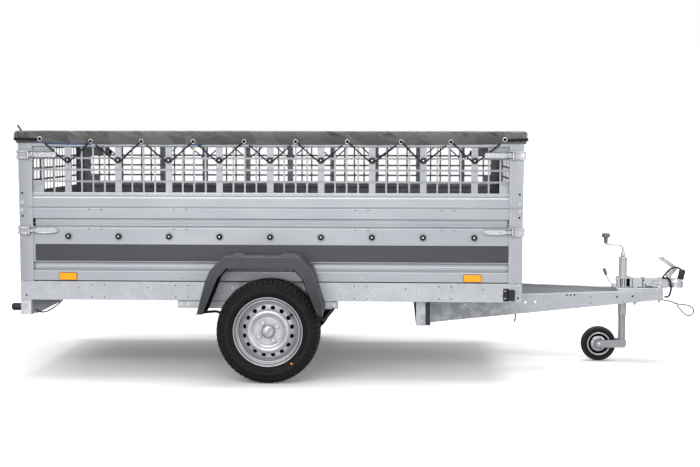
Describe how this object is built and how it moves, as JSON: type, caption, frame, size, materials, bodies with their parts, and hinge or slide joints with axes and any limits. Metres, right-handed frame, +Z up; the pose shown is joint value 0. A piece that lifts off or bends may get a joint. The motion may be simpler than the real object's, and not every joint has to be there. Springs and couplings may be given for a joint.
{
  "type": "box trailer with mesh sides",
  "caption": "Galvanised single-axle box trailer: folding boards, mesh extension, flat laced cover, V drawbar, ball coupling and jockey wheel.",
  "frame": {"origin": "on the ground, at the middle of the overall length and width", "axes": "+X forward to the hitch, +Y to the trailer's left, +Z up"},
  "size_m": [3.7944, 1.704, 1.3255],
  "materials": {
    "zinc_chassis": "hot-dip galvanised, mottled grey, satin",
    "zinc_board": "zinc-coated sheet, smooth satin grey",
    "zinc_mesh": "zinc-coated punched sheet, satin grey",
    "zinc_bright": "bright zinc plate, semi-gloss",
    "zinc_tube": "zinc-coated tube, satin grey",
    "rim_silver": "silver wheel paint, satin",
    "tyre": "black rubber, matt",
    "fender_plastic": "dark grey moulded plastic, matt",
    "black_plastic": "black plastic and rubber, matt",
    "grey_plastic": "grey moulded plastic, matt",
    "lamp_lens": "red and amber lamp lens, gloss",
    "plywood": "brown film-faced plywood, satin",
    "tarpaulin": "grey coated tarpaulin, matt with soft sheen",
    "steel_cable": "thin twisted steel cable"
  },
  "bodies": {
    "root": {"side_member_left": "zinc_chassis", "side_board_left": "zinc_board", "mesh_side_left": "zinc_mesh", "drawbar_beam_left": "zinc_chassis", "fender_left": "fender_plastic", "rear_lamp_left": "lamp_lens", "corner_post_rear_left": "zinc_board", "corner_post_front_left": "zinc_board", "side_member_right": "zinc_chassis", "side_board_right": "zinc_board", "mesh_side_right": "zinc_mesh", "drawbar_beam_right": "zinc_chassis", "fender_right": "fender_plastic", "rear_lamp_right": "lamp_lens", "corner_post_rear_right": "zinc_board", "corner_post_front_right": "zinc_board", "header_rail_rear": "zinc_board", "header_rail_front": "zinc_board", "cross_member_rear": "zinc_chassis", "cross_member_middle": "zinc_chassis", "cross_member_front": "zinc_chassis", "floor_panel": "plywood", "axle_tube": "zinc_chassis", "tarpaulin": "tarpaulin", "drawbar_cross_member": "zinc_chassis", "drawbar_head_plate": "zinc_chassis", "coupling_body": "zinc_bright", "jockey_clamp": "zinc_bright", "safety_cable": "steel_cable", "plug_and_cable": "black_plastic", "light_carrier": "zinc_chassis"},
    "tailgate": {"tailgate": "zinc_board"},
    "front_board": {"front_board": "zinc_board"},
    "gate_rear": {"mesh_gate_rear": "zinc_mesh"},
    "gate_front": {"mesh_gate_front": "zinc_mesh"},
    "coupling_handle": {"coupling_handle": "zinc_bright"},
    "clamp_handle": {"clamp_handle": "black_plastic"},
    "jockey_tube": {"jockey_outer_tube": "zinc_tube"},
    "jockey_crank": {"crank": "zinc_bright"},
    "jockey_knob": {"crank_knob": "grey_plastic"},
    "jockey_nut": {"jockey_spindle_nut": "zinc_bright"},
    "jockey_fork": {"jockey_fork": "zinc_tube"},
    "jockey_wheel": {"jockey_rim": "rim_silver", "jockey_tyre": "tyre"},
    "arm_left": {"swing_arm_left": "zinc_chassis"},
    "wheel_left": {"hub_left": "zinc_bright", "rim_left": "rim_silver", "tyre_left": "tyre"},
    "latch_lower_rear_left": {"latch_lever_lower_rear_left": "zinc_bright"},
    "latch_upper_rear_left": {"latch_lever_upper_rear_left": "zinc_bright"},
    "latch_lower_front_left": {"latch_lever_lower_front_left": "zinc_bright"},
    "latch_upper_front_left": {"latch_lever_upper_front_left": "zinc_bright"},
    "arm_right": {"swing_arm_right": "zinc_chassis"},
    "wheel_right": {"hub_right": "zinc_bright", "rim_right": "rim_silver", "tyre_right": "tyre"},
    "latch_lower_rear_right": {"latch_lever_lower_rear_right": "zinc_bright"},
    "latch_upper_rear_right": {"latch_lever_upper_rear_right": "zinc_bright"},
    "latch_lower_front_right": {"latch_lever_lower_front_right": "zinc_bright"},
    "latch_upper_front_right": {"latch_lever_upper_front_right": "zinc_bright"}
  },
  "joints": [
    {"name": "tailgate_hinge", "type": "hinge", "parent": "root", "child": "tailgate", "pos_m": [-1.8462, 0, 0.5205], "axis": [0, -1, 0], "range_deg": [0, 90]},
    {"name": "front_board_hinge", "type": "hinge", "parent": "root", "child": "front_board", "pos_m": [0.8428, 0, 0.5205], "axis": [0, 1, 0], "range_deg": [0, 90]},
    {"name": "rear_gate_hinge", "type": "hinge", "parent": "root", "child": "gate_rear", "pos_m": [-1.8462, 0, 0.9217], "axis": [0, -1, 0], "range_deg": [0, 170]},
    {"name": "front_gate_hinge", "type": "hinge", "parent": "root", "child": "gate_front", "pos_m": [0.8428, 0, 0.9217], "axis": [0, 1, 0], "range_deg": [0, 170]},
    {"name": "latch_lower_rear_left_hinge", "type": "hinge", "parent": "root", "child": "latch_lower_rear_left", "pos_m": [-1.7872, 0.6655, 0.791], "axis": [0, 0, 1], "range_deg": [0, 120]},
    {"name": "latch_upper_rear_left_hinge", "type": "hinge", "parent": "root", "child": "latch_upper_rear_left", "pos_m": [-1.7872, 0.6655, 1.195], "axis": [0, 0, 1], "range_deg": [0, 120]},
    {"name": "latch_lower_front_left_hinge", "type": "hinge", "parent": "root", "child": "latch_lower_front_left", "pos_m": [0.7838, 0.6655, 0.791], "axis": [0, 0, -1], "range_deg": [0, 120]},
    {"name": "latch_upper_front_left_hinge", "type": "hinge", "parent": "root", "child": "latch_upper_front_left", "pos_m": [0.7838, 0.6655, 1.195], "axis": [0, 0, -1], "range_deg": [0, 120]},
    {"name": "latch_lower_rear_right_hinge", "type": "hinge", "parent": "root", "child": "latch_lower_rear_right", "pos_m": [-1.7872, -0.6655, 0.791], "axis": [0, 0, -1], "range_deg": [0, 120]},
    {"name": "latch_upper_rear_right_hinge", "type": "hinge", "parent": "root", "child": "latch_upper_rear_right", "pos_m": [-1.7872, -0.6655, 1.195], "axis": [0, 0, -1], "range_deg": [0, 120]},
    {"name": "latch_lower_front_right_hinge", "type": "hinge", "parent": "root", "child": "latch_lower_front_right", "pos_m": [0.7838, -0.6655, 0.791], "axis": [0, 0, 1], "range_deg": [0, 120]},
    {"name": "latch_upper_front_right_hinge", "type": "hinge", "parent": "root", "child": "latch_upper_front_right", "pos_m": [0.7838, -0.6655, 1.195], "axis": [0, 0, 1], "range_deg": [0, 120]},
    {"name": "suspension_left", "type": "hinge", "parent": "root", "child": "arm_left", "pos_m": [-0.3372, 0.6145, 0.348], "axis": [0, 1, 0], "range_deg": [-6, 8], "stiffness_Nm_per_rad": 6000, "springref_deg": -1.72},
    {"name": "wheel_spin_left", "type": "hinge", "parent": "arm_left", "child": "wheel_left", "pos_m": [-0.4972, 0.737, 0.2735], "axis": [0, 1, 0], "continuous": true},
    {"name": "suspension_right", "type": "hinge", "parent": "root", "child": "arm_right", "pos_m": [-0.3372, -0.6145, 0.348], "axis": [0, 1, 0], "range_deg": [-6, 8], "stiffness_Nm_per_rad": 6000, "springref_deg": -1.72},
    {"name": "wheel_spin_right", "type": "hinge", "parent": "arm_right", "child": "wheel_right", "pos_m": [-0.4972, -0.737, 0.2735], "axis": [0, 1, 0], "continuous": true},
    {"name": "coupling_handle_pivot", "type": "hinge", "parent": "root", "child": "coupling_handle", "pos_m": [1.7475, 0, 0.4952], "axis": [0, -1, 0], "range_deg": [0, 40]},
    {"name": "clamp_screw", "type": "hinge", "parent": "root", "child": "clamp_handle", "pos_m": [1.4503, 0, 0.448], "axis": [1, 0, 0], "range_deg": [-90, 90]},
    {"name": "jockey_tube_slide", "type": "slide", "parent": "root", "child": "jockey_tube", "axis": [0, 0, 1], "range_m": [0, 0.14]},
    {"name": "jockey_crank_turn", "type": "hinge", "parent": "jockey_tube", "child": "jockey_crank", "pos_m": [1.4828, 0, 0.6056], "axis": [0, 0, 1], "range_deg": [0, 4320]},
    {"name": "jockey_nut_lift", "type": "slide", "parent": "jockey_tube", "child": "jockey_nut", "axis": [0, 0, 1], "range_m": [0, 0.072]},
    {"name": "crank_knob_spin", "type": "hinge", "parent": "jockey_crank", "child": "jockey_knob", "pos_m": [1.3828, 0, 0.6845], "axis": [0, 0, 1], "continuous": true},
    {"name": "jockey_fork_swivel", "type": "hinge", "parent": "jockey_nut", "child": "jockey_fork", "pos_m": [1.4828, 0, 0.16], "axis": [0, 0, 1], "range_deg": [-360, 360]},
    {"name": "jockey_wheel_spin", "type": "hinge", "parent": "jockey_fork", "child": "jockey_wheel", "pos_m": [1.3478, 0, 0.1], "axis": [0, 1, 0], "continuous": true}
  ],
  "couplings": [
    {"joint": "jockey_nut_lift", "follows": "jockey_crank_turn", "m_per_rad": 0.00095493}
  ]
}
